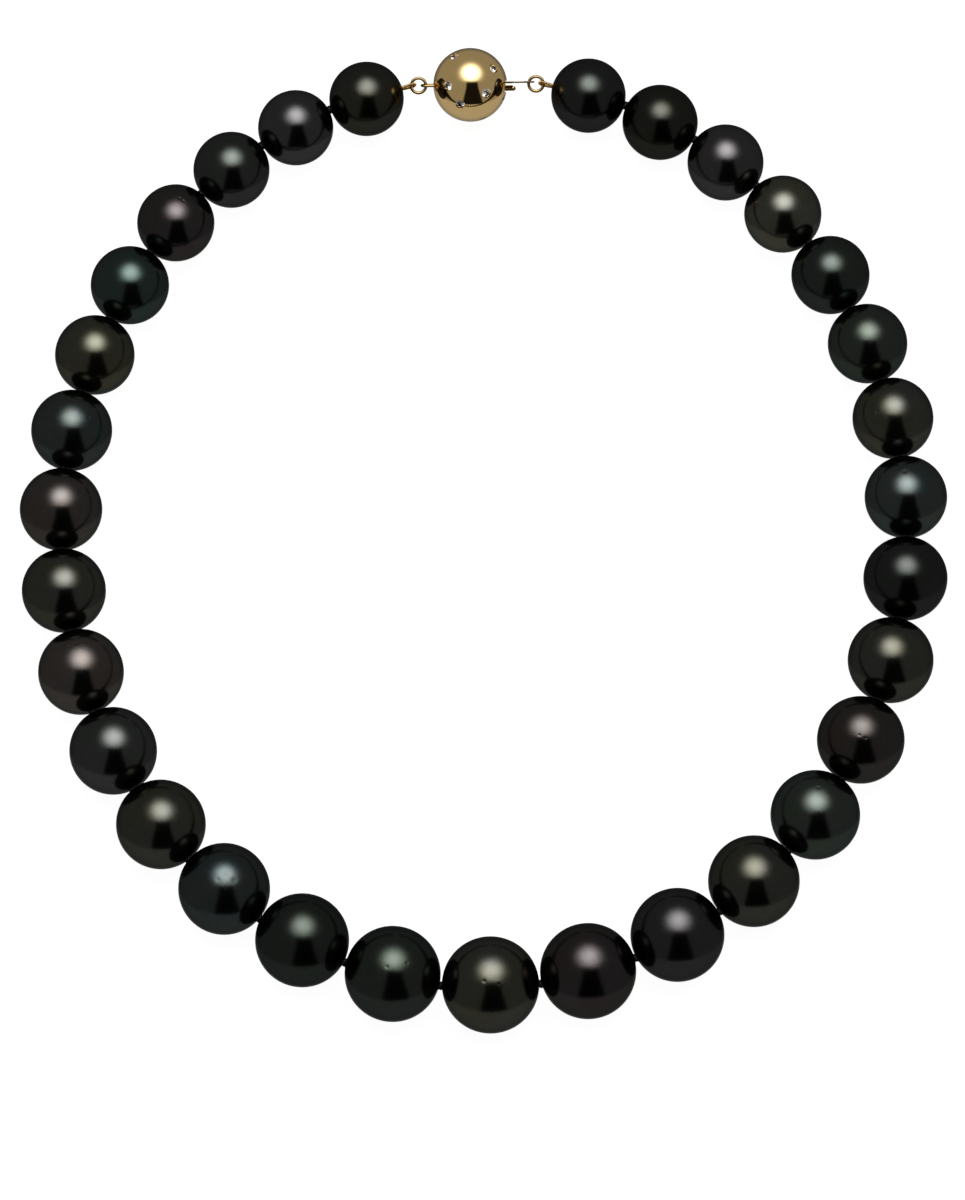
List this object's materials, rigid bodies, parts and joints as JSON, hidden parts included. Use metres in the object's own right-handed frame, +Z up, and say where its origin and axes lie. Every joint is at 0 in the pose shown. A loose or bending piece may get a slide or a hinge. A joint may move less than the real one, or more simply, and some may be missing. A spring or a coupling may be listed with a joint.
{
  "type": "pearl necklace",
  "caption": "Knotted strand of graduated dark pearls closed by a hollow gold ball clasp set with small stones; every knot bends, and the clasp opens for the neck.",
  "frame": {"origin": "bottom centre of the whole necklace as it lies flat, on the surface it rests on", "axes": "+Z up out of the loop, +Y from the largest pearl towards the clasp, +X across the loop towards the tongue's side of the clasp"},
  "size_m": [0.1494, 0.1668, 0.0156],
  "materials": {
    "pearl_green": "gloss",
    "pearl_peacock": "gloss",
    "pearl_olive": "gloss",
    "pearl_aubergine": "gloss",
    "pearl_blue": "gloss",
    "silk": "matte",
    "gold": "polished",
    "gimp_gold": "satin",
    "diamond": "polished"
  },
  "bodies": {
    "pearl_01": {"pearl_01": "pearl_olive", "gimp_loop_left": "gimp_gold"},
    "pearl_02": {"pearl_02": "pearl_blue"},
    "pearl_03": {"pearl_03": "pearl_green"},
    "pearl_04": {"pearl_04": "pearl_aubergine"},
    "pearl_05": {"pearl_05": "pearl_peacock"},
    "pearl_06": {"pearl_06": "pearl_olive"},
    "pearl_07": {"pearl_07": "pearl_peacock"},
    "pearl_08": {"pearl_08": "pearl_aubergine"},
    "pearl_09": {"pearl_09": "pearl_green"},
    "pearl_10": {"pearl_10": "pearl_aubergine"},
    "pearl_11": {"pearl_11": "pearl_blue"},
    "pearl_12": {"pearl_12": "pearl_green"},
    "pearl_13": {"pearl_13": "pearl_peacock"},
    "pearl_14": {"pearl_14": "pearl_peacock"},
    "pearl_15": {"pearl_15": "pearl_green"},
    "pearl_16": {"pearl_16": "pearl_green", "silk_thread": "silk"},
    "pearl_17": {"pearl_17": "pearl_aubergine"},
    "pearl_18": {"pearl_18": "pearl_blue"},
    "pearl_19": {"pearl_19": "pearl_aubergine"},
    "pearl_20": {"pearl_20": "pearl_green"},
    "pearl_21": {"pearl_21": "pearl_aubergine"},
    "pearl_22": {"pearl_22": "pearl_olive"},
    "pearl_23": {"pearl_23": "pearl_peacock"},
    "pearl_24": {"pearl_24": "pearl_blue"},
    "pearl_25": {"pearl_25": "pearl_olive"},
    "pearl_26": {"pearl_26": "pearl_green"},
    "pearl_27": {"pearl_27": "pearl_green"},
    "pearl_28": {"pearl_28": "pearl_olive"},
    "pearl_29": {"pearl_29": "pearl_blue"},
    "pearl_30": {"pearl_30": "pearl_olive"},
    "pearl_31": {"pearl_31": "pearl_blue", "gimp_loop_right": "gimp_gold"},
    "ring_left": {"jump_ring_left": "gold"},
    "ring_right": {"jump_ring_right": "gold"},
    "clasp_ball": {"ball_half_left": "gold", "ball_half_right": "gold", "ball_eye": "gold", "catch_box": "gold", "diamond_01": "diamond", "diamond_02": "diamond", "diamond_03": "diamond", "diamond_04": "diamond", "diamond_05": "diamond", "diamond_06": "diamond", "diamond_07": "diamond", "diamond_08": "diamond", "diamond_09": "diamond", "diamond_10": "diamond", "diamond_11": "diamond", "diamond_12": "diamond", "diamond_13": "diamond", "diamond_14": "diamond"},
    "clasp_tongue": {"tongue_plate": "gold"},
    "thumb_leaf": {"tongue_spring": "gold", "thumb_bar": "gold"}
  },
  "joints": [
    {"name": "open_knot_15_16", "type": "hinge", "parent": "pearl_16", "child": "pearl_15", "pos_m": [-0.00798, -0.07563, 0.00781], "axis": [0, 0, 1], "range_deg": [0, 25]},
    {"name": "open_knot_16_17", "type": "hinge", "parent": "pearl_16", "child": "pearl_17", "pos_m": [0.00798, -0.07563, 0.00781], "axis": [0, 0, -1], "range_deg": [0, 25]},
    {"name": "knot_14_15", "type": "hinge", "parent": "pearl_15", "child": "pearl_14", "pos_m": [-0.02321, -0.07146, 0.00763], "axis": [1, 0, 0], "range_deg": [-20, 20], "deforming": ["silk_thread"]},
    {"name": "knot_17_18", "type": "hinge", "parent": "pearl_17", "child": "pearl_18", "pos_m": [0.02321, -0.07146, 0.00763], "axis": [1, 0, 0], "range_deg": [-20, 20]},
    {"name": "knot_13_14", "type": "hinge", "parent": "pearl_14", "child": "pearl_13", "pos_m": [-0.03668, -0.06391, 0.00746], "axis": [1, 0, 0], "range_deg": [-20, 20]},
    {"name": "knot_18_19", "type": "hinge", "parent": "pearl_18", "child": "pearl_19", "pos_m": [0.03668, -0.06391, 0.00746], "axis": [1, 0, 0], "range_deg": [-20, 20]},
    {"name": "knot_12_13", "type": "hinge", "parent": "pearl_13", "child": "pearl_12", "pos_m": [-0.04793, -0.05382, 0.0073], "axis": [1, 0, 0], "range_deg": [-20, 20]},
    {"name": "knot_19_20", "type": "hinge", "parent": "pearl_19", "child": "pearl_20", "pos_m": [0.04793, -0.05382, 0.0073], "axis": [1, 0, 0], "range_deg": [-20, 20]},
    {"name": "knot_11_12", "type": "hinge", "parent": "pearl_12", "child": "pearl_11", "pos_m": [-0.05673, -0.04192, 0.00715], "axis": [1, 0, 0], "range_deg": [-20, 20]},
    {"name": "knot_20_21", "type": "hinge", "parent": "pearl_20", "child": "pearl_21", "pos_m": [0.05673, -0.04192, 0.00715], "axis": [1, 0, 0], "range_deg": [-20, 20]},
    {"name": "knot_10_11", "type": "hinge", "parent": "pearl_11", "child": "pearl_10", "pos_m": [-0.06303, -0.02884, 0.00701], "axis": [1, 0, 0], "range_deg": [-20, 20]},
    {"name": "knot_21_22", "type": "hinge", "parent": "pearl_21", "child": "pearl_22", "pos_m": [0.06303, -0.02884, 0.00701], "axis": [1, 0, 0], "range_deg": [-20, 20]},
    {"name": "knot_09_10", "type": "hinge", "parent": "pearl_10", "child": "pearl_09", "pos_m": [-0.06688, -0.01514, 0.00688], "axis": [1, 0, 0], "range_deg": [-20, 20]},
    {"name": "knot_22_23", "type": "hinge", "parent": "pearl_22", "child": "pearl_23", "pos_m": [0.06688, -0.01514, 0.00688], "axis": [1, 0, 0], "range_deg": [-20, 20]},
    {"name": "knot_08_09", "type": "hinge", "parent": "pearl_09", "child": "pearl_08", "pos_m": [-0.06838, -0.00124, 0.00675], "axis": [1, 0, 0], "range_deg": [-20, 20]},
    {"name": "knot_23_24", "type": "hinge", "parent": "pearl_23", "child": "pearl_24", "pos_m": [0.06838, -0.00124, 0.00675], "axis": [1, 0, 0], "range_deg": [-20, 20]},
    {"name": "knot_07_08", "type": "hinge", "parent": "pearl_08", "child": "pearl_07", "pos_m": [-0.06764, 0.01248, 0.00664], "axis": [-1, 0, 0], "range_deg": [-20, 20]},
    {"name": "knot_24_25", "type": "hinge", "parent": "pearl_24", "child": "pearl_25", "pos_m": [0.06764, 0.01248, 0.00664], "axis": [-1, 0, 0], "range_deg": [-20, 20]},
    {"name": "knot_06_07", "type": "hinge", "parent": "pearl_07", "child": "pearl_06", "pos_m": [-0.06481, 0.02569, 0.00653], "axis": [-1, 0, 0], "range_deg": [-20, 20]},
    {"name": "knot_25_26", "type": "hinge", "parent": "pearl_25", "child": "pearl_26", "pos_m": [0.06481, 0.02569, 0.00653], "axis": [-1, 0, 0], "range_deg": [-20, 20]},
    {"name": "knot_05_06", "type": "hinge", "parent": "pearl_06", "child": "pearl_05", "pos_m": [-0.06, 0.03809, 0.00643], "axis": [-1, 0, 0], "range_deg": [-20, 20]},
    {"name": "knot_26_27", "type": "hinge", "parent": "pearl_26", "child": "pearl_27", "pos_m": [0.06, 0.03809, 0.00643], "axis": [-1, 0, 0], "range_deg": [-20, 20]},
    {"name": "knot_04_05", "type": "hinge", "parent": "pearl_05", "child": "pearl_04", "pos_m": [-0.05334, 0.04939, 0.00634], "axis": [-1, 0, 0], "range_deg": [-20, 20]},
    {"name": "knot_27_28", "type": "hinge", "parent": "pearl_27", "child": "pearl_28", "pos_m": [0.05334, 0.04939, 0.00634], "axis": [-1, 0, 0], "range_deg": [-20, 20]},
    {"name": "knot_03_04", "type": "hinge", "parent": "pearl_04", "child": "pearl_03", "pos_m": [-0.04499, 0.05928, 0.00626], "axis": [-1, 0, 0], "range_deg": [-20, 20]},
    {"name": "knot_28_29", "type": "hinge", "parent": "pearl_28", "child": "pearl_29", "pos_m": [0.04499, 0.05928, 0.00626], "axis": [-1, 0, 0], "range_deg": [-20, 20]},
    {"name": "knot_02_03", "type": "hinge", "parent": "pearl_03", "child": "pearl_02", "pos_m": [-0.03513, 0.06743, 0.00618], "axis": [-1, 0, 0], "range_deg": [-20, 20]},
    {"name": "knot_29_30", "type": "hinge", "parent": "pearl_29", "child": "pearl_30", "pos_m": [0.03513, 0.06743, 0.00618], "axis": [-1, 0, 0], "range_deg": [-20, 20]},
    {"name": "knot_01_02", "type": "hinge", "parent": "pearl_02", "child": "pearl_01", "pos_m": [-0.02402, 0.07347, 0.00612], "axis": [-1, 0, 0], "range_deg": [-20, 20]},
    {"name": "knot_30_31", "type": "hinge", "parent": "pearl_30", "child": "pearl_31", "pos_m": [0.02402, 0.07347, 0.00612], "axis": [-1, 0, 0], "range_deg": [-20, 20]},
    {"name": "ring_left_swing", "type": "hinge", "parent": "pearl_01", "child": "ring_left", "pos_m": [-0.01074, 0.07743, 0.00606], "axis": [1, 0, 0], "range_deg": [-40, 5]},
    {"name": "ring_right_swing", "type": "hinge", "parent": "pearl_31", "child": "ring_right", "pos_m": [0.01074, 0.07743, 0.00606], "axis": [1, 0, 0], "range_deg": [-40, 5]},
    {"name": "ball_roll", "type": "hinge", "parent": "ring_left", "child": "clasp_ball", "pos_m": [-0.00834, 0.07743, 0.00606], "axis": [1, 0, 0], "range_deg": [-20, 20]},
    {"name": "tongue_roll", "type": "hinge", "parent": "ring_right", "child": "clasp_tongue", "pos_m": [0.00834, 0.07743, 0.00606], "axis": [1, 0, 0], "range_deg": [-20, 20]},
    {"name": "thumb_press", "type": "hinge", "parent": "clasp_tongue", "child": "thumb_leaf", "pos_m": [-0.00244, 0.07753, 0.00609], "axis": [0, -0.309, 0.9511], "range_deg": [0, 2.2], "stiffness_Nm_per_rad": 0.05}
  ],
  "couplings": [
    {"joint": "open_knot_16_17", "follows": "open_knot_15_16", "ratio": 1},
    {"joint": "knot_17_18", "follows": "knot_14_15", "ratio": 1},
    {"joint": "knot_18_19", "follows": "knot_13_14", "ratio": 1},
    {"joint": "knot_19_20", "follows": "knot_12_13", "ratio": 1},
    {"joint": "knot_20_21", "follows": "knot_11_12", "ratio": 1},
    {"joint": "knot_21_22", "follows": "knot_10_11", "ratio": 1},
    {"joint": "knot_22_23", "follows": "knot_09_10", "ratio": 1},
    {"joint": "knot_23_24", "follows": "knot_08_09", "ratio": 1},
    {"joint": "knot_24_25", "follows": "knot_07_08", "ratio": 1},
    {"joint": "knot_25_26", "follows": "knot_06_07", "ratio": 1},
    {"joint": "knot_26_27", "follows": "knot_05_06", "ratio": 1},
    {"joint": "knot_27_28", "follows": "knot_04_05", "ratio": 1},
    {"joint": "knot_28_29", "follows": "knot_03_04", "ratio": 1},
    {"joint": "knot_29_30", "follows": "knot_02_03", "ratio": 1},
    {"joint": "knot_30_31", "follows": "knot_01_02", "ratio": 1},
    {"joint": "ring_right_swing", "follows": "ring_left_swing", "ratio": 1},
    {"joint": "tongue_roll", "follows": "ball_roll", "ratio": 1}
  ]
}
